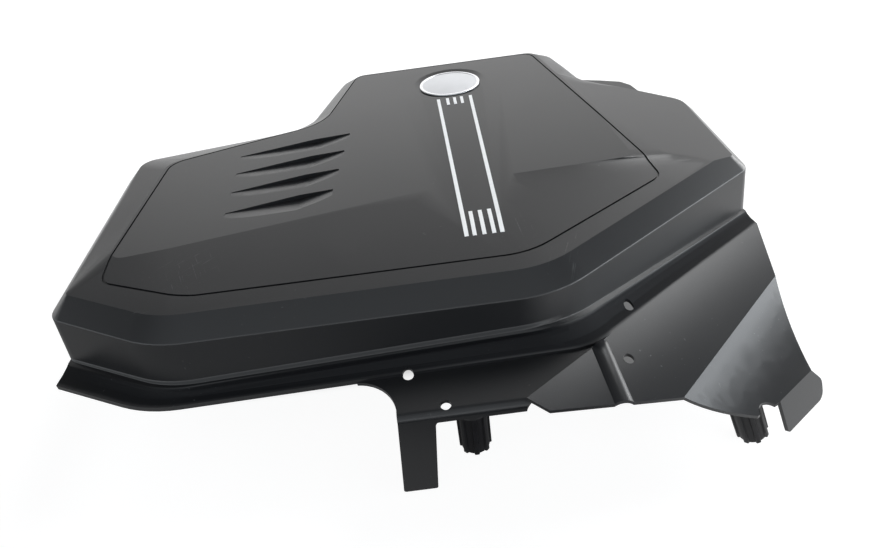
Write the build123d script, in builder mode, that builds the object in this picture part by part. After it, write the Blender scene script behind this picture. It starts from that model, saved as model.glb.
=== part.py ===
import os
from math import asin, cos, hypot, radians, sin, tan

from build123d import *

os.makedirs("parts", exist_ok=True)

# Engine cover. The origin is the mouth of the near rear stud socket, +X is towards the front of the car,
# +Y is away from the long skirt, and +Z is up.

# Shell
wall = 2.8
panel_height = 119.5
bevel_drop = 21.5
bevel_angle = 41.5
shoulder_drop = 8.0
wall_height = 42.5
wall_draft = 6.0
crease_round = 2.2

# Outline of the bevel's lower edge: each corner's place and its radius, going round from the near rear corner
near_line = 36.5
rear_line = -302.0
front_line = 254.0
far_line = 471.0
crease_corners = [
    (rear_line, 84.0, 16.0),
    (-211.5, near_line, 90.0),
    (68.4, near_line, 90.0),
    (front_line, 164.0, 14.0),
    (front_line, 300.0, 28.0),
    (175.0, 368.0, 40.0),
    (155.0, far_line, 40.0),
    (-101.0, far_line, 40.0),
    (-137.0, 344.0, 30.0),
    (rear_line - 4.0, 318.0, 30.0),
]
smallest_corner = 5.0

# Level top of the panel, in the same order: the facets fall from here to the shoulder above the bevel
plateau_corners = [
    (-262.0, 119.0, 12.0),
    (-215.0, 124.8, 90.0),
    (25.0, 168.0, 60.0),
    (160.0, 172.0, 12.0),
    (152.0, 296.0, 40.0),
    (138.5, 368.0, 40.0),
    (126.0, 441.0, 12.0),
    (-77.0, 441.0, 12.0),
    (-108.0, 321.0, 45.0),
    (-255.0, 276.0, 18.0),
]
nose_facet_slope = 9.0
nose_line = [(174.0, 146.0), (128.0, 441.0)]

# Channel between the badge and the near edge
channel_start = 366.0
channel_slope = 0.85
channel_far_width = 104.0
channel_near_width = 12.6
channel_near_end = 60.0
channel_side = 76.0
channel_cut = 8.0

# Groove round the panel
groove_width = 1.6
groove_depth = 1.2
groove_corners = [
    (-261.0, 98.5, 12.0),
    (-193.0, 68.5, 80.0),
    (55.5, 68.5, 60.0),
    (174.0, 146.0, 12.0),
    (122.0, 440.0, 14.0),
    (-77.0, 440.0, 12.0),
    (-108.0, 321.0, 45.0),
    (-251.0, 275.0, 18.0),
]

# Gill louvres
louvre_count = 4
louvre_first_tip = (-183.0, 269.5)
louvre_pitch = (1.5, -34.2)
louvre_run = (70.0, 16.5)
louvre_end_run = (33.0, 3.0)
louvre_shorten = 0.95
louvre_depth = 4.6
louvre_end_depth = 0.8
louvre_reach = 24.0
louvre_tip_depth = 0.3

# Badge seat and badge
badge_x = 25.0
badge_y = 384.0
badge_radius = 32.5
badge_rim = 3.0
badge_thickness = 2.6
badge_dome = 1.2
badge_rim_step = 0.5
badge_clearance = 0.3
seat_lip = 6.0
seat_depth = 3.0
peg_radius = 2.5
peg_length = 4.0
peg_spacing = 36.0
peg_clearance = 0.2

# Flange: its fold, which is level, and its foot line on the wall, which peaks at the near front corner
fold_drop = 64.0
fold_rear = (-318.0, 63.0, 20.0)
fold_turn = (-227.0, 19.6, 100.0)
fold_corner = (92.3, 26.2, 60.0)
fold_front = (275.0, 154.6, 14.0)
foot_rise = 18.5
foot_near_tilt = 2.36
foot_front_tilt = 3.4
foot_inset = 2.2
flange_steps = [(0.0, 0.0), (0.40, 0.18), (0.66, 0.52), (0.78, 0.86), (0.96, 0.94), (1.0, 1.0)]
flange_rear_end = -305.5
flange_rear_edge = 57.0
flange_front_end = 260.0
flange_lip = 4.0

# Ledge and its near lip
ledge_riser = 1.6
ledge_slope = 4.0
ledge_round = 6.0
ledge_overlap = 12.0
near_edge = -13.0
lip_drop = 12.2
lip_wall = 2.4

# Leg
leg_left = -50.5
leg_width = 25.5
leg_foot_shift = -6.5
leg_foot = -30.5
leg_corner = 30.0
leg_corner_trim = 3.0
leg_notch = 5.0
leg_foot_round = 2.0

# Wing and flare
wing_slope = 18.0
wing_rear = (252.0, 89.5)
wing_near = (142.5, near_edge)
wing_left = (50.0, -22.0)
flare_front = (246.5, 13.0)
flare_fold_near = (213.0, -10.0)
flare_near = (193.0, -20.0)
flare_start_slope = 45.0
flare_radius = 84.0
notch_radius = 8.0
notch_centre = (203.0, -18.0)
dart_line = [(94.0, 28.0), (99.0, near_edge)]
dart_radius = 10.0
dart_height = 2.2

# Hook at the corner of the flare
hook_length = 27.0
hook_slope = 65.0
hook_flare = 9.0
hook_corner = 8.0

# Stud sockets of rubber and the holders moulded for them
socket_radius = 10.2
socket_length = 39.0
socket_ribs = 8
socket_rib_width = 2.6
socket_rib_height = 1.4
stud_bore = 5.0
stud_depth = 18.0
neck_radius = 6.0
neck_clearance = 0.2
head_radius = 8.4
head_length = 4.0
holder_plate = 3.0
holder_plate_radius = 12.6
holder_radius = 12.2
holder_bore = 9.4
socket_lean = 20.0
near_rear_socket = (0.0, 0.0, 0.0)
near_front_socket = (208.0, 3.0, -32.5)
far_socket_drop = 84.5
far_rear_socket = (-205.0, 234.0, panel_height - far_socket_drop)
far_front_socket = (98.0, 400.0, panel_height - far_socket_drop)

# Small round holes through the skirt
skirt_hole = 3.8
skirt_holes = [(-41.0, 23.0), (-17.0, -6.0), (125.5, 59.5), (113.0, 16.0)]

# Ribs under the panel
rib_wall = 2.0
rib_drop = 11.5
rib_lines_along_x = [192.0, 310.0]
rib_lines_along_y = [-60.0, 130.0]

# Web across the corner between the far side and the nose
web_drop = 38.7
web_corners = [
    (150.0, 440.0),
    (182.0, 436.0),
    (202.0, 427.0),
    (222.0, 416.0),
    (230.0, 403.0),
    (234.0, 378.0),
    (238.0, 330.0),
    (150.0, 345.0),
]

# Stripes
inlay_height = 0.4
stripe_width = 3.2
stripe_near = 95.0
stripe_far = 342.0
stripe_near_gap = 26.4
stripe_far_gap = 33.0
stripe_shift = 1.5
dash_width = 3.0
dash_pitch = 7.2
dash_near_length = 31.0
dash_far_length = 16.0

crease_height = panel_height - bevel_drop
shoulder_height = panel_height - shoulder_drop
foot_height = crease_height - wall_height
fold_height = panel_height - fold_drop
lip_foot = fold_height - lip_drop
bevel_inset = (bevel_drop - shoulder_drop) / tan(radians(bevel_angle))
foot_grow = wall_height * tan(radians(wall_draft))
mass_floor = -70.0


def moved_sides(corners, grow):
    """Corners of a closed outline, with their radii, after every side has moved outward by grow."""
    moved = []
    for index, (x, y, radius) in enumerate(corners):
        before = corners[index - 1]
        after = corners[(index + 1) % len(corners)]
        in_x, in_y = x - before[0], y - before[1]
        out_x, out_y = after[0] - x, after[1] - y
        in_length, out_length = hypot(in_x, in_y), hypot(out_x, out_y)
        n1_x, n1_y = in_y / in_length, -in_x / in_length
        n2_x, n2_y = out_y / out_length, -out_x / out_length
        share = grow / (1 + n1_x * n2_x + n1_y * n2_y)
        convex = in_x * out_y - in_y * out_x > 0
        moved_radius = max(radius + (grow if convex else -grow), smallest_corner)
        moved.append((x + (n1_x + n2_x) * share, y + (n1_y + n2_y) * share, moved_radius))
    return moved


def outline(corners, height, grow):
    """Face of a rounded outline on a level plane, with every side moved outward by grow."""
    moved = moved_sides(corners, grow)
    points = [(x, y) for x, y, radius in moved]
    with BuildSketch(Plane.XY.offset(height)) as face:
        with BuildLine():
            FilletPolyline(*points, radius=[radius for x, y, radius in moved], close=True)
        make_face()
    return face.sketch


def above_plane(plane):
    """Large block on the upper side of a plane."""
    with BuildPart() as block:
        with BuildSketch(plane):
            Rectangle(1600, 1600)
        extrude(amount=200)
    return block.part


foot_corners = moved_sides(crease_corners, foot_inset)
fold_corners = [fold_rear, fold_turn, fold_corner, fold_front] + moved_sides(crease_corners, fold_front[0] - front_line)[4:]
turn_x, turn_y = fold_corner[:2]
chamfer_run = (fold_front[0] - turn_x, fold_front[1] - turn_y)
crease_length = hypot(wing_near[0] - wing_rear[0], wing_near[1] - wing_rear[1])
flare_out = ((wing_rear[1] - wing_near[1]) / crease_length, (wing_near[0] - wing_rear[0]) / crease_length)


def tilted(downhill, slope):
    """Upward normal of a plane that falls by slope degrees along the level direction downhill."""
    share = sin(radians(slope)) / hypot(*downhill)
    return (downhill[0] * share, downhill[1] * share, cos(radians(slope)))


def sloped_plane(point, downhill, slope):
    """Plane through a point that falls by slope degrees along the level direction downhill."""
    return Plane(origin=point, x_dir=(-downhill[1], downhill[0], 0), z_dir=tilted(downhill, slope))


def channel_block(height):
    """Block over the shallow channel that runs from the badge to the near facets."""
    far, near = channel_far_width / 2, channel_near_width / 2
    run = channel_start - channel_near_end
    with BuildPart() as block:
        with BuildSketch(sloped_plane((badge_x, channel_start, height), (0, -1), channel_slope)):
            with BuildLine():
                Polyline((-far, 0), (-near, -run), (near, -run), (far, 0), close=True)
            make_face()
        extrude(amount=channel_cut, taper=-channel_side)
    return block.part


def dome(inset):
    """Solid inside the dome's skin: the skin itself for an inset of 0, and its inner face for the wall."""
    crease_shift = inset * tan(radians((90 - bevel_angle) / 2))
    shoulder_shift = inset * tan(radians(bevel_angle / 2))
    top = panel_height - inset
    nose_run = (nose_line[1][0] - nose_line[0][0], nose_line[1][1] - nose_line[0][1])
    with BuildPart() as body:
        foot = outline(crease_corners, foot_height, foot_grow - inset)
        crease = outline(crease_corners, crease_height - crease_shift, -inset)
        shoulder = outline(crease_corners, shoulder_height - inset, -bevel_inset - shoulder_shift)
        plateau = outline(plateau_corners, top, 0)
        loft([foot, crease, shoulder, plateau], ruled=True)
        nose = sloped_plane((*nose_line[0], top), (nose_run[1], -nose_run[0]), nose_facet_slope)
        add(above_plane(nose), mode=Mode.SUBTRACT)
        add(channel_block(top), mode=Mode.SUBTRACT)
    return body.part


def plan_prism(points, top):
    """Upright prism over a plan region given by its corners."""
    with BuildPart() as prism:
        with BuildSketch(Plane.XY.offset(mass_floor)):
            with BuildLine():
                Polyline(*points, close=True)
            make_face()
        extrude(amount=top - mass_floor)
    return prism.part


def under_plane(points, plane):
    """Solid under a plane, over a plan region given by its corners."""
    with BuildPart() as mass:
        add(plan_prism(points, crease_height))
        add(above_plane(plane), mode=Mode.SUBTRACT)
    return mass.part


def flange_ring(share, rise, heading, tilt):
    """Outline part of the way in from the flange's fold to its foot, tilted with the foot line."""
    corners = []
    for fold, foot in zip(fold_corners, foot_corners):
        corners.append(tuple(start + (end - start) * share for start, end in zip(fold, foot)))
    pivot = Axis((*crease_corners[2][:2], 0), (heading[1], -heading[0], 0))
    ring = outline(corners, 0, 0).rotate(pivot, tilt * rise)
    return ring.moved(Location((0, 0, fold_height + foot_rise * rise)))


def flange_mass(heading, tilt):
    """Solid under the flange, with a foot line that climbs by tilt degrees along a level heading."""
    with BuildPart() as mass:
        loft([flange_ring(share, rise, heading, tilt) for share, rise in flange_steps], ruled=True)
        add(outline(fold_corners, mass_floor, 0))
        extrude(amount=fold_height - mass_floor)
    return mass.part


def on_near_fold(x):
    """Y of the flange's fold along the near side."""
    return fold_turn[1] + (x - fold_turn[0]) * (turn_y - fold_turn[1]) / (turn_x - fold_turn[0])


def on_chamfer(y):
    """Point at a given Y on the fold line of the wing, which follows the near front side of the cover."""
    return (turn_x + chamfer_run[0] * (y - turn_y) / chamfer_run[1], y)


def wing_height(point):
    """Height of the wing's upper face over a plan point."""
    outward = (point[0] - turn_x) * chamfer_run[1] - (point[1] - turn_y) * chamfer_run[0]
    return fold_height - tan(radians(wing_slope)) * outward / hypot(*chamfer_run)


def flare_height(point):
    """Height of the flare's upper face over a plan point."""
    out = (point[0] - wing_rear[0]) * flare_out[0] + (point[1] - wing_rear[1]) * flare_out[1]
    along = (point[0] - wing_rear[0]) * flare_out[1] - (point[1] - wing_rear[1]) * flare_out[0]
    angle = asin(sin(radians(flare_start_slope)) - out / flare_radius)
    share = along / crease_length
    crease = wing_height(wing_rear) * (1 - share) + wing_height(wing_near) * share
    return crease - flare_radius * (cos(angle) - cos(radians(flare_start_slope)))


def flare_mass():
    """Solid under the concave flare, which hangs from the outer crease of the wing."""
    rear = Vector(*wing_rear, wing_height(wing_rear))
    run = Vector(*wing_near, wing_height(wing_near)) - rear
    level = (wing_near[0] - wing_rear[0], wing_near[1] - wing_rear[1], 0)
    slope = radians(flare_start_slope)
    with BuildPart() as mass:
        with BuildSketch(Plane(origin=rear - run * 0.3, x_dir=(*flare_out, 0), z_dir=level)):
            with BuildLine():
                curve = JernArc((0, 0), (cos(slope), -sin(slope)), flare_radius, flare_start_slope)
                Polyline(curve @ 1, (150, (curve @ 1).Y), (150, -130), (0, -130), (0, 0))
            make_face()
        extrude(amount=run.length * 1.6, dir=run.normalized())
        flare_plan = [wing_rear, wing_near, flare_near, flare_fold_near, flare_front]
        add(plan_prism(flare_plan, crease_height), mode=Mode.INTERSECT)
    return mass.part


def ledge_mass():
    """Solid under the ledge: a low step below the flange, a tread and a rounded near edge, cut out round the leg."""
    left = leg_left - leg_corner
    corner_y = on_near_fold(left) - leg_corner
    inner_y = turn_y + ledge_overlap
    step = fold_height - ledge_riser
    fall = (inner_y - near_edge) * tan(radians(ledge_slope))
    plan = [
        (left + leg_corner_trim, inner_y),
        (left + leg_corner_trim, corner_y + leg_corner_trim),
        (leg_left, corner_y + leg_corner_trim),
        (leg_left, near_edge),
        on_chamfer(near_edge),
        on_chamfer(inner_y),
    ]
    with BuildPart() as mass:
        with BuildSketch(Plane.YZ.offset(left)):
            with BuildLine():
                section = [(inner_y, mass_floor), (near_edge, mass_floor), (near_edge, step - fall), (inner_y, step)]
                FilletPolyline(*section, radius=[lip_wall, lip_wall, ledge_round, lip_wall], close=True)
            make_face()
        extrude(amount=turn_x - left)
        add(plan_prism(plan, crease_height), mode=Mode.INTERSECT)
        with Locations((left, corner_y, mass_floor)):
            Cylinder(leg_corner, 200, align=(Align.CENTER, Align.CENTER, Align.MIN), mode=Mode.SUBTRACT)
    return mass.part


def skirt_mass():
    """Solid under the whole skirt: flange, ledge, wing with its dart, and flare."""
    wing_end_y = turn_y + chamfer_run[1] * (flange_front_end - turn_x) / chamfer_run[0]
    wing_plan = [on_chamfer(near_edge), wing_left, wing_near, wing_rear, (flange_front_end, wing_end_y)]
    flange_plan = [
        (flange_rear_end, wing_left[1]),
        (flange_front_end, wing_left[1]),
        (flange_front_end, wing_end_y),
        (front_line, wing_end_y + fold_front[0] - front_line),
        (rear_line, crease_corners[0][1]),
        (flange_rear_end, flange_rear_edge),
    ]
    sink = dart_radius - dart_height
    dart_start = Vector(*dart_line[0], wing_height(dart_line[0]) - sink)
    dart_run = Vector(*dart_line[1], wing_height(dart_line[1]) - sink) - dart_start
    with BuildPart() as dart:
        with Locations(Plane(origin=dart_start, z_dir=dart_run)):
            Cylinder(dart_radius, 2 * dart_run.length, align=(Align.CENTER, Align.CENTER, Align.MIN))
            Sphere(dart_radius)
        add(plan_prism(wing_plan, crease_height), mode=Mode.INTERSECT)
    with BuildPart() as mass:
        add(flange_mass((1, 0), foot_near_tilt))
        add(flange_mass(chamfer_run, -foot_front_tilt), mode=Mode.INTERSECT)
        add(plan_prism(flange_plan, panel_height), mode=Mode.INTERSECT)
        add(ledge_mass())
        wing_downhill = (chamfer_run[1], -chamfer_run[0])
        add(under_plane(wing_plan, sloped_plane((turn_x, turn_y, fold_height), wing_downhill, wing_slope)))
        add(dart.part)
        add(flare_mass())
    return mass.part


def ring_prism(corners, outside, inside, top):
    """Upright ring between two offsets of a rounded outline."""
    with BuildPart() as ring:
        add(outline(corners, mass_floor, outside))
        extrude(amount=top - mass_floor)
        add(outline(corners, mass_floor, inside))
        extrude(amount=top - mass_floor, mode=Mode.SUBTRACT)
    return ring.part


def louvre(index, lower_by):
    """Wedge of one louvre: a riser that faces the near side, and a floor that rises from its foot."""
    scale = louvre_shorten**index
    x = louvre_first_tip[0] + index * louvre_pitch[0]
    y = louvre_first_tip[1] + index * louvre_pitch[1]
    deep = (x + louvre_run[0] * scale, y + louvre_run[1] * scale)
    end = (deep[0] + louvre_end_run[0] * scale, deep[1] + louvre_end_run[1] * scale)
    sections = [((x, y), louvre_tip_depth), (deep, louvre_depth), (end, louvre_end_depth)]
    faces = []
    for place, depth in sections:
        reach = louvre_reach * (depth / louvre_depth) ** 0.5
        origin = (*place, panel_height - lower_by)
        with BuildSketch(Plane(origin=origin, x_dir=(0, -1, 0), z_dir=(-1, 0, 0))) as face:
            with BuildLine():
                over = reach * (depth + 0.5) / depth
                Polyline((-lower_by, 0.5), (-lower_by, -depth), (over, 0.5), close=True)
            make_face()
        faces.append(face.sketch)
    with BuildPart() as wedge:
        loft(faces, ruled=True)
    return wedge.part


def socket_plane(place, lean):
    """Plane at the mouth of a stud socket, with its normal along the socket."""
    tilt = radians(lean)
    return Plane(origin=place, x_dir=(cos(tilt), 0, sin(tilt)), z_dir=(-sin(tilt), 0, cos(tilt)))


def holder(plane, inside):
    """Tube under the skin with a plate across its foot, open on the far side so that the socket slides in."""
    up = (Align.CENTER, Align.CENTER, Align.MIN)
    inward = (Align.CENTER, Align.MIN, Align.MIN)
    with BuildPart() as tube:
        with Locations(plane.offset(socket_length)):
            Cylinder(holder_radius, 150, align=up)
            Cylinder(holder_plate_radius, holder_plate, align=up)
        add(inside.moved(Location((0, 0, -wall / 2))), mode=Mode.INTERSECT)
    with BuildPart() as hollow:
        with Locations(plane.offset(socket_length + holder_plate)):
            Cylinder(holder_bore, 150, align=up)
        add(inside.moved(Location((0, 0, -wall))), mode=Mode.INTERSECT)
        with Locations(plane.offset(socket_length + holder_plate)):
            Box(2 * holder_bore, 2 * holder_bore, head_length + 3, align=inward)
        with Locations(plane.offset(socket_length)):
            Cylinder(neck_radius + neck_clearance, holder_plate, align=up)
            Box(2 * neck_radius - 1, 2 * holder_plate_radius, holder_plate, align=inward)
    with BuildPart() as body:
        add(tube.part)
        add(hollow.part, mode=Mode.SUBTRACT)
    return body.part


def grommet(plane):
    """Rubber socket for a ball stud: ribbed body, neck through the holder's plate and retaining head."""
    up = (Align.CENTER, Align.CENTER, Align.MIN)
    with BuildPart() as body:
        with Locations(plane):
            Cylinder(socket_radius, socket_length, align=up)
            with PolarLocations(socket_radius, socket_ribs):
                Box(2 * socket_rib_height, socket_rib_width, socket_length, align=up)
        with Locations(plane.offset(socket_length)):
            Cylinder(neck_radius, holder_plate, align=up)
        with Locations(plane.offset(socket_length + holder_plate)):
            Cone(head_radius, neck_radius, head_length, align=up)
        with Locations(plane):
            Cylinder(stud_bore, stud_depth, align=up, mode=Mode.SUBTRACT)
    return body.part


def inlay(points, skin):
    """Thin inlay that follows the panel, over a plan region given by its corners."""
    with BuildPart() as strip:
        add(plan_prism(points, panel_height + 5))
        add(skin.moved(Location((0, 0, inlay_height))), mode=Mode.INTERSECT)
        add(skin, mode=Mode.SUBTRACT)
    return strip.part


with BuildPart() as skin_body:
    add(dome(0))
    sharp = [edge for edge in skin_body.edges() if abs(edge.center().Z - crease_height) < 0.01]
    fillet(sharp, radius=crease_round)
skin = skin_body.part

with BuildPart() as hollow_body:
    add(dome(wall))
    add(outline(crease_corners, mass_floor, foot_grow - wall))
    extrude(amount=foot_height - mass_floor)
hollow = hollow_body.part

skirt = skirt_mass()

with BuildPart() as skirt_plate:
    add(skirt)
    add(skirt.moved(Location((0, 0, -wall))), mode=Mode.SUBTRACT)

with BuildPart() as near_lip:
    lip_end = on_chamfer(near_edge)[0]
    lip_plan = [
        (leg_left, near_edge),
        (lip_end, near_edge),
        (lip_end, near_edge + lip_wall),
        (leg_left, near_edge + lip_wall),
    ]
    add(plan_prism(lip_plan, crease_height))
    add(skirt, mode=Mode.INTERSECT)
    add(above_plane(Plane.XY.offset(lip_foot)), mode=Mode.INTERSECT)

with BuildPart() as flange_edge:
    add(ring_prism(fold_corners, 0, -lip_wall, crease_height))
    lip_stop = leg_left - leg_corner + 2 * leg_corner_trim
    split(bisect_by=Plane(origin=(lip_stop, 0, 0), z_dir=(-1, 0, 0)), keep=Keep.TOP)
    add(skirt, mode=Mode.INTERSECT)
    add(skirt.moved(Location((0, 0, -flange_lip))), mode=Mode.SUBTRACT)

with BuildPart() as leg:
    with BuildSketch(Plane.XZ.offset(-near_edge)):
        with BuildLine():
            right = leg_left + leg_width
            top = lip_foot + lip_wall
            notch = (right, lip_foot)
            leg_outline = [
                (leg_left, top),
                (leg_left + leg_foot_shift, leg_foot),
                (right + leg_foot_shift, leg_foot),
                notch,
                (right + 2 * leg_notch, lip_foot),
                (right + 2 * leg_notch, top),
            ]
            corner_radii = [lip_wall / 2, leg_foot_round, leg_foot_round, leg_notch, lip_wall / 4, lip_wall / 4]
            FilletPolyline(*leg_outline, radius=corner_radii, close=True)
        make_face()
    extrude(amount=-wall)

with BuildPart() as hook:
    near = Vector(*flare_fold_near, flare_height(flare_fold_near))
    front = Vector(*flare_front, flare_height(flare_front))
    fold = (front - near).normalized()
    out = Vector(fold.Y, -fold.X, 0).normalized()
    down = out * cos(radians(hook_slope)) - Vector(0, 0, sin(radians(hook_slope)))
    with BuildSketch(Plane(origin=near, x_dir=fold, z_dir=fold.cross(down))):
        with BuildLine():
            width = (front - near).length
            side = (width + hook_flare, hook_length * 0.5)
            tip = (width + hook_flare * 0.6, hook_length)
            flap = [(0, 0), (width, 0), side, tip, (0, hook_length)]
            FilletPolyline(*flap, radius=[0.5, 2, hook_corner, hook_corner, hook_corner / 4], close=True)
        make_face()
    extrude(amount=wall)

with BuildPart() as ribs:
    for y in rib_lines_along_x:
        with Locations(((rear_line + front_line) / 2, y, panel_height - rib_drop)):
            Box(front_line - rear_line, rib_wall, 60, align=(Align.CENTER, Align.CENTER, Align.MIN))
    for x in rib_lines_along_y:
        with Locations((x, (near_line + far_line) / 2, panel_height - rib_drop)):
            Box(rib_wall, far_line - near_line, 60, align=(Align.CENTER, Align.CENTER, Align.MIN))
    add(skin.moved(Location((0, 0, -wall / 2))), mode=Mode.INTERSECT)

with BuildPart() as web:
    with BuildSketch(Plane.XY.offset(panel_height - web_drop - wall)):
        with BuildLine():
            Polyline(*web_corners, close=True)
        make_face()
    extrude(amount=wall)

with BuildPart() as under_skin:
    add(skin)
    add(outline(crease_corners, mass_floor, foot_grow))
    extrude(amount=foot_height - mass_floor)

with BuildPart() as groove:
    add(ring_prism(groove_corners, groove_width / 2, -groove_width / 2, panel_height + 5))
    add(skin.moved(Location((0, 0, -groove_depth))), mode=Mode.SUBTRACT)

seat_radius = badge_radius + badge_clearance
seat_height = panel_height - seat_depth
up = (Align.CENTER, Align.CENTER, Align.MIN)
pegs = [(badge_x - peg_spacing / 2, badge_y), (badge_x + peg_spacing / 2, badge_y)]
with BuildPart() as seat_boss:
    with Locations((badge_x, badge_y, seat_height - wall)):
        Cone(seat_radius + wall, seat_radius + seat_lip + wall, seat_depth + wall / 2, align=up)
with BuildPart() as seat_dish:
    with Locations((badge_x, badge_y, seat_height)):
        Cone(seat_radius, seat_radius + seat_lip * 1.5, seat_depth * 1.5, align=up)
    with Locations(*[(x, y, seat_height - 2 * wall) for x, y in pegs]):
        Cylinder(peg_radius + peg_clearance, 3 * wall, align=up)

socket_planes = {
    "grommet_near_rear": socket_plane(near_rear_socket, 0),
    "grommet_near_front": socket_plane(near_front_socket, socket_lean),
    "grommet_far_rear": socket_plane(far_rear_socket, 0),
    "grommet_far_front": socket_plane(far_front_socket, 0),
}

with BuildPart() as cover_shell:
    add(skin)
    add(skirt_plate.part)
    add(near_lip.part)
    add(flange_edge.part)
    add(web.part)
    add(hollow, mode=Mode.SUBTRACT)
    add(leg.part)
    add(hook.part)
    add(ribs.part)
    add(seat_boss.part)
    for index in range(louvre_count):
        add(louvre(index, wall))
    add(holder(socket_planes["grommet_near_rear"], skirt))
    add(holder(socket_planes["grommet_near_front"], skirt))
    add(holder(socket_planes["grommet_far_rear"], under_skin.part))
    add(holder(socket_planes["grommet_far_front"], under_skin.part))
    add(groove.part, mode=Mode.SUBTRACT)
    add(seat_dish.part, mode=Mode.SUBTRACT)
    for index in range(louvre_count):
        add(louvre(index, 0), mode=Mode.SUBTRACT)
    with Locations(*[(x, y, fold_height) for x, y in skirt_holes]):
        Cylinder(skirt_hole, fold_drop, mode=Mode.SUBTRACT)
    with Locations((*notch_centre, 0)):
        Cylinder(notch_radius, panel_height, mode=Mode.SUBTRACT)
cover_shell.part.label = "cover_shell"
export_step(cover_shell.part, "parts/cover_shell.step")

edge_top = seat_height + badge_thickness
crown = badge_dome + badge_rim_step
face_radius = badge_radius - badge_rim
crown_radius = (face_radius**2 + crown**2) / (2 * crown)
half_rise = edge_top + badge_dome - crown_radius + (crown_radius**2 - (face_radius / 2) ** 2) ** 0.5
with BuildPart() as round_badge:
    with BuildSketch(Plane(origin=(badge_x, badge_y, 0), x_dir=(1, 0, 0), z_dir=(0, -1, 0))):
        with BuildLine():
            side = Polyline(
                (0, edge_top + badge_dome),
                (0, seat_height),
                (badge_radius, seat_height),
                (badge_radius, edge_top - badge_rim_step),
                (badge_radius - badge_rim_step, edge_top),
                (face_radius, edge_top),
                (face_radius, edge_top - badge_rim_step),
            )
            ThreePointArc(side @ 1, (face_radius / 2, half_rise), side @ 0)
        make_face()
    revolve(axis=Axis((badge_x, badge_y, 0), (0, 0, 1)))
    with Locations(*[(x, y, seat_height) for x, y in pegs]):
        Cylinder(peg_radius, peg_length, align=(Align.CENTER, Align.CENTER, Align.MAX))
round_badge.part.label = "round_badge"
export_step(round_badge.part, "parts/round_badge.step")

for name, plane in socket_planes.items():
    with BuildPart() as socket:
        add(grommet(plane))
    socket.part.label = name
    export_step(socket.part, f"parts/{name}.step")

for side, name in ((-1, "stripe_left"), (1, "stripe_right")):
    near_x = badge_x + stripe_shift + side * stripe_near_gap / 2
    far_x = badge_x + stripe_shift + side * stripe_far_gap / 2
    half = stripe_width / 2
    near_end = [(near_x - half, stripe_near), (near_x + half, stripe_near)]
    far_end = [(far_x + half, stripe_far), (far_x - half, stripe_far)]
    with BuildPart() as stripe:
        add(inlay(near_end + far_end, skin))
    stripe.part.label = name
    export_step(stripe.part, f"parts/{name}.step")

dash_rows = {
    "dash_near": (stripe_near, stripe_near + dash_near_length),
    "dash_far": (stripe_far - dash_far_length, stripe_far),
}
for row, (start, end) in dash_rows.items():
    for step in range(3):
        left = badge_x + stripe_shift + (step - 1) * dash_pitch - dash_width / 2
        right = left + dash_width
        with BuildPart() as dash:
            add(inlay([(left, start), (right, start), (right, end), (left, end)], skin))
        dash.part.label = f"{row}_{step + 1}"
        export_step(dash.part, f"parts/{row}_{step + 1}.step")
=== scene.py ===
from math import cos, pi, radians, sin, tan

import bmesh
import bpy
import numpy as np
from mathutils import Matrix, Vector


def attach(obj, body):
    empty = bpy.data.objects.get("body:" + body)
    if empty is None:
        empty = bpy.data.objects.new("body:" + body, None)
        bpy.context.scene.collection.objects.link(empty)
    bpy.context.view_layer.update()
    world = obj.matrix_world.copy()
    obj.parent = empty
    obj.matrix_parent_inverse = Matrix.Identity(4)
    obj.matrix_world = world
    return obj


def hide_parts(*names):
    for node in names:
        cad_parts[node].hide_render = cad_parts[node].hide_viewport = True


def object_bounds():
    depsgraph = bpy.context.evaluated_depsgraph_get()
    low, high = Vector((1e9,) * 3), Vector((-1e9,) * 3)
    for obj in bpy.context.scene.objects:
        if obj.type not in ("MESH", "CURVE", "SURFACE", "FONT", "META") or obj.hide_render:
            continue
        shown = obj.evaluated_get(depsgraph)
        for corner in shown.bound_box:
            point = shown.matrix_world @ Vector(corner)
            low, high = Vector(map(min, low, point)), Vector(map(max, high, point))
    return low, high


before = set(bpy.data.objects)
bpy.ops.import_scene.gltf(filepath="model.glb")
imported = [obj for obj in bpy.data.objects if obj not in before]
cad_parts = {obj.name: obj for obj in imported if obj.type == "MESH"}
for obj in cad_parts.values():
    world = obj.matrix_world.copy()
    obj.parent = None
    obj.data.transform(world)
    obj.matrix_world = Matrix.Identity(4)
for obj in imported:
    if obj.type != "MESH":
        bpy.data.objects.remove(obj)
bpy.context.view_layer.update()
scene = bpy.context.scene


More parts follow.
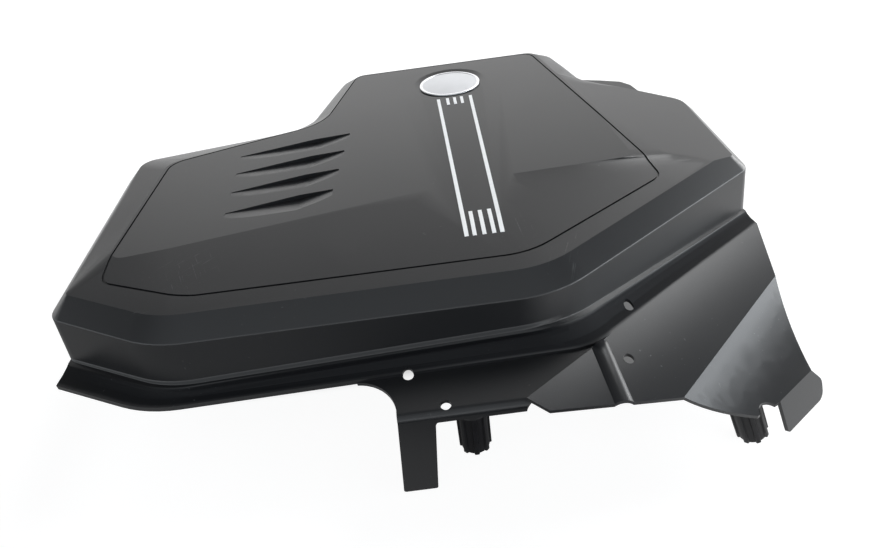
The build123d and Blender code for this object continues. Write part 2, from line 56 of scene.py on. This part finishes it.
# Cover shell: one injection moulding of black filled polypropylene with a fine spark-eroded grain.
# The tool leaves small radii on every edge, and handling leaves hairlines, rubs and a little dust on the
# panel. The flange's recess is painted darker as painted shade, by a dull skin that reflects little.
class Wire:
    """One socket of a shader tree. Arithmetic on wires adds Math nodes, and make() adds any other node."""

    def __init__(self, tree, socket=None):
        self.tree = tree
        self.socket = socket

    def make(self, kind, settings={}, inputs={}, out=0):
        """Adds a node, sets its settings and then its inputs, and returns one of its outputs."""
        node = self.tree.nodes.new(kind)
        for name, value in settings.items():
            setattr(node, name, value)
        for name, value in inputs.items():
            if isinstance(value, Wire):
                self.tree.links.new(value.socket, node.inputs[name])
            else:
                node.inputs[name].default_value = value
        return Wire(self.tree, node.outputs[out] if node.outputs else None)

    def math(self, operation, *terms):
        return self.make("ShaderNodeMath", {"operation": operation}, dict(enumerate(terms)))

    def __add__(self, other):
        return self.math("ADD", self, other)

    def __sub__(self, other):
        return self.math("SUBTRACT", self, other)

    def __rsub__(self, other):
        return self.math("SUBTRACT", other, self)

    def __mul__(self, other):
        return self.math("MULTIPLY", self, other)

    def __truediv__(self, other):
        return self.math("DIVIDE", self, other)

    __radd__ = __add__
    __rmul__ = __mul__

    def least(self, other):
        return self.math("MINIMUM", self, other)

    def most(self, other):
        return self.math("MAXIMUM", self, other)

    def ease(self, low, high):
        """Smooth step of a value from 0 at low to 1 at high."""
        limits = {"Value": self, "From Min": low, "From Max": high}
        return self.make("ShaderNodeMapRange", {"interpolation_type": "SMOOTHSTEP"}, limits)

    def parts(self):
        """The x, y and z of a vector, each as a wire."""
        split = self.make("ShaderNodeSeparateXYZ", {}, {0: self})
        return [Wire(self.tree, socket) for socket in split.socket.node.outputs]


def new_finish(name):
    """Empty material, a bare wire to make its nodes from, and the place on the piece in metres."""
    material = bpy.data.materials.new(name)
    material.use_nodes = True
    material.node_tree.nodes.clear()
    blank = Wire(material.node_tree)
    return material, blank, blank.make("ShaderNodeTexCoord", out="Object")


def close_finish(blank, shader):
    """Joins a shader to the material's output."""
    blank.make("ShaderNodeOutputMaterial", {}, {"Surface": shader})


def noise(place, scale, detail=2.0, roughness=0.5):
    """Noise of about 0 to 1 with a pattern of 1/scale metres."""
    inputs = {"Vector": place, "Scale": scale, "Detail": detail, "Roughness": roughness}
    return place.make("ShaderNodeTexNoise", {}, inputs)


def mixed(factor, low, high):
    """Colour between two colours by a factor."""
    return factor.make("ShaderNodeMix", {"data_type": "RGBA"}, {0: factor, 6: low, 7: high}, out=2)


def rubbed(place, centre, turn, reach, strokes):
    """Patch of fine parallel hairlines: stretched noise cut at a level and broken up, which fades out
    with the distance from the patch's centre."""
    moved = place.make("ShaderNodeMapping", {}, {"Vector": place, "Location": (-centre[0], -centre[1], 0)})
    turned = place.make("ShaderNodeMapping", {}, {"Vector": moved, "Rotation": (0, 0, -radians(turn))})
    spread = place.make("ShaderNodeMapping", {}, {"Vector": turned, "Scale": (1 / reach[0], 1 / reach[1], 0)})
    far = place.make("ShaderNodeVectorMath", {"operation": "LENGTH"}, {0: spread}, out="Value")
    lines = place.make("ShaderNodeMapping", {}, {"Vector": turned, "Scale": (strokes[0], strokes[1], 0)})
    broken = noise(turned, 160.0, 2.0).ease(0.42, 0.62)
    return noise(lines, 1.0, 1.0).ease(0.60, 0.74) * broken * (1 - far.ease(0.25, 1.0))


def on_rear_corner(point):
    """Whether a point lies on the panel's rear near corner, where the facets of the solid twist."""
    return point.x < -0.14 and point.y < 0.15 and point.z > 0.1113


def join_facets(work):
    """Joins triangles to whole faces, and the twisted facets of the panel's rear near corner to a few."""
    bmesh.ops.remove_doubles(work, verts=work.verts, dist=2e-6)
    bmesh.ops.dissolve_limit(work, angle_limit=radians(0.4), verts=work.verts, edges=work.edges)
    corner = [vert for vert in work.verts if on_rear_corner(vert.co)]
    within = [edge for edge in work.edges if all(on_rear_corner(vert.co) for vert in edge.verts)]
    bmesh.ops.dissolve_limit(work, angle_limit=radians(3), verts=corner, edges=within)
    slivers = []
    for face in work.faces:
        x, y, z = face.calc_center_median()
        in_tip = -0.259 < x < -0.240 and 0.098 < y < 0.1225 and z > 0.1155
        if in_tip and 0.93 < face.normal.z < 0.995:
            slivers.append(face)
    bmesh.ops.dissolve_faces(work, faces=slivers)


def close_dart(work):
    """Adds a small plate under the dart's upper end, where flange, ledge and wing meet."""
    plan = [(0.0905, 0.0294), (0.0914, 0.0256), (0.1016, 0.0315), (0.0998, 0.0338)]
    height, thickness = 0.0530, 0.0015
    plate = work.faces.new([work.verts.new((x, y, height)) for x, y in plan])
    bmesh.ops.solidify(work, geom=[plate], thickness=thickness)


def set_creases(mesh):
    """Keeps edges over 24 degrees and the panel's shallow near crease sharp, and smooths the flange."""
    mesh.shade_smooth()
    mesh.set_sharp_from_angle(angle=radians(24))
    sharp = mesh.attributes["sharp_edge"].data
    slopes = {}
    for face in mesh.polygons:
        for key in face.edge_keys:
            slopes.setdefault(key, []).append(face.normal.z)
    for edge in mesh.edges:
        first, second = (mesh.vertices[i].co for i in edge.vertices)
        middle = (first + second) / 2
        on_panel = middle.x < -0.06 and middle.y < 0.18 and middle.z > 0.119
        on_flange = middle.y < 0.16 and 0.0558 < middle.z < 0.079
        level_to_slope = max(slopes[edge.key]) > 0.9999 and min(slopes[edge.key]) < 0.998
        if on_panel and level_to_slope:
            sharp[edge.index].value = True
        elif on_flange and (first - second).length > 0.004:
            sharp[edge.index].value = False


skin_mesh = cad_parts["cover_shell"].data.copy()
skin_mesh.name = "moulded_shell"
skin_mesh.materials.clear()
work = bmesh.new()
work.from_mesh(skin_mesh)
join_facets(work)
close_dart(work)
work.to_mesh(skin_mesh)
work.free()
set_creases(skin_mesh)
shell = bpy.data.objects.new("moulded_shell", skin_mesh)
scene.collection.objects.link(shell)
soften = shell.modifiers.new("edge_radius", "BEVEL")
soften.width = 0.0005
soften.segments = 2
soften.limit_method = "ANGLE"
soften.angle_limit = radians(28)
flatten = shell.modifiers.new("flat_faces", "WEIGHTED_NORMAL")
flatten.mode = "FACE_AREA"
flatten.weight = 100
flatten.keep_sharp = True

plastic, blank, place = new_finish("black_grained_plastic")
grain = noise(place, 1500.0, 2.0, 0.6)
patches = noise(place, 9.0, 4.0)
dust = noise(place, 420.0, 1.0).ease(0.72, 0.80) * noise(place, 14.0, 2.0).ease(0.45, 0.75)
hairlines = (
    rubbed(place, (0.052, 0.098), 96, (0.020, 0.024), (22, 700))
    + rubbed(place, (0.080, 0.068), 68, (0.026, 0.018), (26, 800))
    + rubbed(place, (-0.195, 0.098), 40, (0.030, 0.026), (24, 900))
    + rubbed(place, (-0.188, 0.092), 112, (0.026, 0.030), (24, 900))
    + rubbed(place, (-0.228, 0.060), 12, (0.026, 0.006), (40, 1100))
    + rubbed(place, (-0.262, 0.225), 60, (0.014, 0.018), (40, 1000))
)
wear = (hairlines * 0.42 + dust * 0.4).least(1.0)
tone = mixed(patches, (0.0060, 0.0064, 0.0075, 1), (0.0085, 0.0089, 0.0100, 1))
tone = mixed(wear, tone, (0.17, 0.175, 0.18, 1))
gloss = 0.27 + patches * 0.06 + grain * 0.05 + wear * 0.15

# The wing is crowned: it falls away with the square of the distance past its fold, and goes straight on
# over the flare.
fold_distance, flare_start, fall = 0.0316, 0.081, -1.35
side, ahead, up = place.parts()
past_fold = (side * 0.575 - ahead * 0.818 - fold_distance).most(0.0)
on_wing = past_fold.least(flare_start)
crown = on_wing * (past_fold * 2.0 - on_wing) * fall

# The wall's foot stands over the fold by a rise that tilts down both ways from the near front corner.
# The foot has a rounded bead on the near side, and the flange below it is painted dark as painted shade of
# its recess.
fold_height, corner_rise, corner_side = 0.0555, 0.0185, 0.0684
near_tilt, front_tilt = tan(radians(2.36)), tan(radians(3.4))
along_front = side * 0.824 + ahead * 0.566 - 0.0770
rise = ((side - corner_side) * near_tilt).least(along_front * -front_tilt) + corner_rise
below_foot = rise - up + fold_height
bead_top, bead_crest, bead_end, bead_height = -0.0034, 0.0014, 0.0060, 0.0026
bead = below_foot.ease(bead_top, bead_crest) * (1 - below_foot.ease(bead_crest, bead_end))
bead = bead * (1 - along_front.ease(-0.03, 0.01)) * bead_height
share = (up - fold_height) / rise
# Painted shade: the flange between fold and foot is mixed to a dull skin that reflects little.
painted_recess_shade = share.ease(0.0, 0.08) * (1 - share.ease(0.70, 0.95)) * (1 - ahead.ease(0.165, 0.180))

form = blank.make("ShaderNodeBump", {}, {"Strength": 1.0, "Distance": 1.0, "Height": crown + bead})
relief = {"Strength": 0.16, "Distance": 0.0003, "Height": grain, "Normal": form}
relief = blank.make("ShaderNodeBump", {}, relief)
skin = {"Base Color": tone, "Roughness": gloss, "Normal": relief}
plain_skin = blank.make("ShaderNodeBsdfPrincipled", {}, skin)
# Painted shade: the dull, barely reflecting skin that darkens the flange's recess.
skin = {"Base Color": tone, "Roughness": 0.55, "Specular IOR Level": 0.08, "Normal": relief}
shade_skin = blank.make("ShaderNodeBsdfPrincipled", {}, skin)
close_finish(blank, blank.make("ShaderNodeMixShader", {}, {0: painted_recess_shade, 1: plain_skin, 2: shade_skin}))
shell.data.materials.append(plastic)
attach(shell, "root")
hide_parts("cover_shell")


# Stud sockets: black rubber, moulded with upright ribs, a neck that sits in the holder's plate and a head
# above it. Each is pushed into its holder from the side and snaps over a ball stud.
def grid_mesh(name, points, wrap):
    """Mesh of a grid of points, rows by columns, closed round its columns where wrap is true."""
    rows, columns = points.shape[:2]
    index = np.arange(rows * columns).reshape(rows, columns)
    if wrap:
        index = np.concatenate([index, index[:, :1]], axis=1)
    quads = np.stack([index[:-1, :-1], index[:-1, 1:], index[1:, 1:], index[1:, :-1]], axis=-1).reshape(-1, 4)
    mesh = bpy.data.meshes.new(name)
    mesh.from_pydata(points.reshape(-1, 3).tolist(), [], quads.tolist())
    work = bmesh.new()
    work.from_mesh(mesh)
    bmesh.ops.remove_doubles(work, verts=work.verts, dist=1e-6)
    bmesh.ops.recalc_face_normals(work, faces=work.faces)
    work.to_mesh(mesh)
    work.free()
    mesh.shade_smooth()
    mesh.set_sharp_from_angle(angle=radians(38))
    piece = bpy.data.objects.new(name, mesh)
    scene.collection.objects.link(piece)
    return piece


def socket_points(mouth, lean):
    """Socket as profile rows by angle columns. A row is radius and height in millimetres and the share of the
    ribs there, so the ribs lift the body's rows, and the bore and the head stay round."""
    turn = np.linspace(0, 2 * pi, 192, endpoint=False)
    rib_count, rib_height = 8, 1.4
    rib = np.clip(0.5 + 1.6 * (np.cos(rib_count * turn) - 0.25), 0, 1)
    rib = rib * rib * (3 - 2 * rib)
    profile = np.array([
        (0.0, 18.0, 0), (5.0, 18.0, 0), (5.0, 0.5, 0), (5.5, 0.0, 0), (9.4, 0.0, 0), (9.9, 0.15, 0.6),
        (10.2, 0.5, 1), (10.2, 8.0, 1), (10.2, 16.0, 1), (10.2, 26.0, 1), (10.2, 38.5, 1), (9.9, 38.85, 0.6),
        (9.4, 39.0, 0), (6.0, 39.0, 0), (6.0, 42.0, 0), (7.9, 42.0, 0), (8.4, 42.3, 0), (6.3, 45.7, 0),
        (5.8, 46.0, 0), (0.0, 46.0, 0),
    ])
    radius = profile[:, :1] + rib_height * profile[:, 2:] * rib
    height = np.repeat(profile[:, 1:2], len(turn), axis=1)
    x, y = radius * np.cos(turn), radius * np.sin(turn)
    tilt = radians(lean)
    points = np.stack([x * cos(tilt) - height * sin(tilt), y, x * sin(tilt) + height * cos(tilt)], axis=-1)
    return (points + np.array(mouth)) / 1000


rubber, blank, place = new_finish("socket_rubber")
bloom = noise(place, 90.0, 3.0)
fine = noise(place, 2200.0, 2.0)
tone = mixed(bloom.ease(0.35, 0.8), (0.003, 0.003, 0.004, 1), (0.008, 0.008, 0.009, 1))
relief = blank.make("ShaderNodeBump", {}, {"Strength": 0.2, "Distance": 0.0002, "Height": fine})
skin = {"Base Color": tone, "Roughness": 0.34 + bloom * 0.2, "Normal": relief, "Specular IOR Level": 0.14}
close_finish(blank, blank.make("ShaderNodeBsdfPrincipled", {}, skin))
socket_places = {
    "grommet_near_rear": ((0, 0, 0), 0),
    "grommet_near_front": ((208, 3, -32.5), 20),
    "grommet_far_rear": ((-205, 234, 35), 0),
    "grommet_far_front": ((98, 400, 35), 0),
}
for node, (mouth, lean) in socket_places.items():
    socket = grid_mesh(node.replace("grommet", "stud_socket"), socket_points(mouth, lean), True)
    socket.data.materials.append(rubber)
    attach(socket, "root")
    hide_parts(node)


# Round badge: a spun aluminium disc with a bright turned rim and a satin face, pressed by its pegs into
# the seat. The face carries fine turning marks round its centre. Its profile rows are radius and height.
badge_centre = np.array([25.0, 384.0, 116.5])
turn = np.linspace(0, 2 * pi, 192, endpoint=False)
profile = np.array([
    (0.0, 0.0), (31.9, 0.0), (32.3, 0.15), (32.5, 0.5), (32.5, 2.0), (32.38, 2.3), (32.1, 2.52), (31.6, 2.6),
    (30.3, 2.6), (29.8, 2.5), (29.55, 2.3), (29.4, 2.16), (29.0, 2.14), (27.0, 2.38), (24.0, 2.67),
    (20.0, 3.01), (15.0, 3.36), (10.0, 3.61), (5.0, 3.75), (0.0, 3.8),
])
radius, height = profile[:, :1], np.repeat(profile[:, 1:2], len(turn), axis=1)
points = np.stack([radius * np.cos(turn), radius * np.sin(turn), height], axis=-1)
badge = grid_mesh("badge_disc", (points + badge_centre) / 1000, True)
satin, blank, place = new_finish("satin_aluminium")
to_centre = (-badge_centre[0] / 1000, -badge_centre[1] / 1000, 0)
centred = blank.make("ShaderNodeMapping", {}, {"Vector": place, "Location": to_centre})
flat = blank.make("ShaderNodeVectorMath", {"operation": "MULTIPLY"}, {0: centred, 1: (1, 1, 0)})
ring = blank.make("ShaderNodeVectorMath", {"operation": "LENGTH"}, {0: flat}, out="Value")
rim = ring.ease(0.0290, 0.0297)
marks = noise(blank.make("ShaderNodeCombineXYZ", {}, {0: ring * 4200.0}), 1.0, 2.0)
smears = noise(place, 60.0, 3.0)
tone = mixed(rim, mixed(smears, (0.58, 0.59, 0.61, 1), (0.68, 0.69, 0.71, 1)), (0.80, 0.81, 0.83, 1))
gloss = (0.34 + marks * 0.14 + smears * 0.06) * (1 - rim) + rim * (0.16 + smears * 0.08)
relief = blank.make("ShaderNodeBump", {}, {"Strength": 0.12, "Distance": 0.0002, "Height": marks})
skin = {"Base Color": tone, "Roughness": gloss, "Metallic": 1.0, "Normal": relief}
close_finish(blank, blank.make("ShaderNodeBsdfPrincipled", {}, skin))
badge.data.materials.append(satin)
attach(badge, "root")
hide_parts("round_badge")


# Stripes and dashes: silver film inlaid in the panel in the mould, flush but for its own thickness.
# The film keeps the panel's grain and has lost some of its shine where it has been wiped.
silver, blank, place = new_finish("silver_film")
grain = noise(place, 1300.0, 2.0, 0.6)
wiped = noise(place, 45.0, 3.0)
tone = mixed(wiped, (0.80, 0.81, 0.82, 1), (0.90, 0.905, 0.91, 1))
relief = blank.make("ShaderNodeBump", {}, {"Strength": 0.12, "Distance": 0.0003, "Height": grain})
skin = {"Base Color": tone, "Roughness": 0.34 + wiped * 0.14, "Metallic": 0.1, "Normal": relief}
close_finish(blank, blank.make("ShaderNodeBsdfPrincipled", {}, skin))
dashes = [f"dash_{end}_{number}" for end in ("near", "far") for number in (1, 2, 3)]
for node in ["stripe_left", "stripe_right"] + dashes:
    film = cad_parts[node].data
    film.materials.clear()
    film.materials.append(silver)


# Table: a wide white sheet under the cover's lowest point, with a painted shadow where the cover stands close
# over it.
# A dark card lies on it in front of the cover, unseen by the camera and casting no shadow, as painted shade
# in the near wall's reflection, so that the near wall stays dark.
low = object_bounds()[0][2]
reach = np.linspace(-20.0, 20.0, 3)
sheet_x, sheet_y = np.meshgrid(reach, reach)
table = grid_mesh("table_sheet", np.stack([sheet_x, sheet_y, np.full_like(sheet_x, low)], axis=-1), False)
paper, blank, place = new_finish("white_table")
paper.cycles.emission_sampling = "NONE"
seen = blank.make("ShaderNodeLightPath", out="Is Camera Ray")
mirrored = blank.make("ShaderNodeLightPath", out="Is Glossy Ray")
through = blank.make("ShaderNodeLightPath", out="Is Transmission Ray")
shown = seen.most(mirrored).most(through)
dull = blank.make("ShaderNodeBsdfDiffuse", {}, {"Color": (0.35, 0.35, 0.35, 1)})
lit = blank.make("ShaderNodeBsdfDiffuse", {}, {"Color": (0.30, 0.30, 0.30, 1)})
across, along, _ = place.parts()
# Painted shadow: the sheet's glow falls to dark grey where the cover stands over it.
start = 0.100 - across.ease(0.05, 0.12) * 0.055
under = (along - start).ease(0.0, 0.035) * (1 - along.ease(0.36, 0.42))
under = under * across.ease(-0.26, -0.18) * (1 - across.ease(0.18, 0.23))
white = mixed(under, (1, 1, 1, 1), (0.11, 0.11, 0.11, 1))
white = blank.make("ShaderNodeEmission", {}, {"Color": white, "Strength": 0.90})
bright = blank.make("ShaderNodeAddShader", {}, {0: lit, 1: white})
close_finish(blank, blank.make("ShaderNodeMixShader", {}, {0: shown, 1: dull, 2: bright}))
table.data.materials.append(paper)

card_x, card_y = np.meshgrid(np.linspace(-1.40, 0.26, 3), np.linspace(-0.80, 0.45, 3))
card = grid_mesh("dark_card", np.stack([card_x, card_y, np.full_like(card_x, low + 0.001)], axis=-1), False)
# Painted shade: a black sheet whose only part is to darken what the near wall reflects.
card_shade, blank, place = new_finish("painted_shade_card")
across, along, _ = place.parts()
cover = (0.70 + across.ease(-0.24, 0.0) * 0.30) * (1 - across.ease(0.11, 0.21))
cover = cover * (1 - along.ease(-0.12, -0.05) * across.ease(-0.36, -0.28) * 0.35)
skin = {"Base Color": (0.01, 0.01, 0.01, 1), "Roughness": 1.0, "Specular IOR Level": 0.0, "Alpha": cover}
close_finish(blank, blank.make("ShaderNodeBsdfPrincipled", {}, skin))
card.data.materials.append(card_shade)
card.visible_camera = False
card.visible_shadow = False


# Studio: dim overhead and brighter low down on the far and near sides, with a low strip light on the right,
# a weak one on the left and a softbox up to the right.
world = bpy.data.worlds.new("studio")
world.use_nodes = True
world.node_tree.nodes.clear()
blank = Wire(world.node_tree)
aim = blank.make("ShaderNodeTexCoord", out="Generated")
across, depth, up = aim.parts()
softbox_aim = {0: aim, 1: (0.497, 0.448, 0.743)}
toward = blank.make("ShaderNodeVectorMath", {"operation": "DOT_PRODUCT"}, softbox_aim, out="Value")
far = depth.ease(-0.1, 0.7) * (1 - up.ease(0.35, 0.85) * 0.62) * 1.25
far = far * (1 - across.ease(0.15, 0.60) * 0.32) * (1 - (0 - across).ease(0.25, 0.65) * 0.72)
near = (0 - depth).ease(0.15, 0.55) * (0.66 + (1 - up.ease(0.05, 0.40)) * 1.3)
right = across.ease(0.50, 0.98) * (1 - up.ease(0.08, 0.46)) * 8.0
left = (0 - across).ease(0.60, 0.98) * (1 - up.ease(0.08, 0.40)) * 1.2
softbox = toward.ease(0.962, 0.996) * 7.5
level = 0.17 + far + near + right + left + softbox
tint = mixed(depth.ease(-0.1, 0.6), (0.94, 0.99, 1.03, 1), (1, 1, 1, 1))
light = blank.make("ShaderNodeBackground", {}, {"Color": tint, "Strength": level})
blank.make("ShaderNodeOutputWorld", {}, {"Surface": light})
scene.world = world


# Camera: a pinhole camera in the cover's frame, above the near edge and looking down, rolled a little.
# Its focal length and the picture's width are in pixels.
stand = (-0.0048, -0.2987, 0.3844)
yaw, pitch, roll = radians(-0.92), radians(37.37), radians(8.07)
focal_length, picture_width = 650, 877
ahead = Vector((sin(yaw) * cos(pitch), cos(yaw) * cos(pitch), -sin(pitch)))
level_right = Vector((cos(yaw), -sin(yaw), 0))
level_down = ahead.cross(level_right)
right = level_right * cos(roll) + level_down * sin(roll)
down = level_down * cos(roll) - level_right * sin(roll)
turned = Matrix((right, -down, -ahead)).transposed().to_4x4()
lens = bpy.data.cameras.new("camera")
lens.sensor_width = 36
lens.lens = focal_length / picture_width * lens.sensor_width
lens.clip_start = 0.01
camera = bpy.data.objects.new("camera", lens)
camera.matrix_world = Matrix.Translation(stand) @ turned
scene.collection.objects.link(camera)
scene.camera = camera
scene.view_settings.view_transform = "Standard"
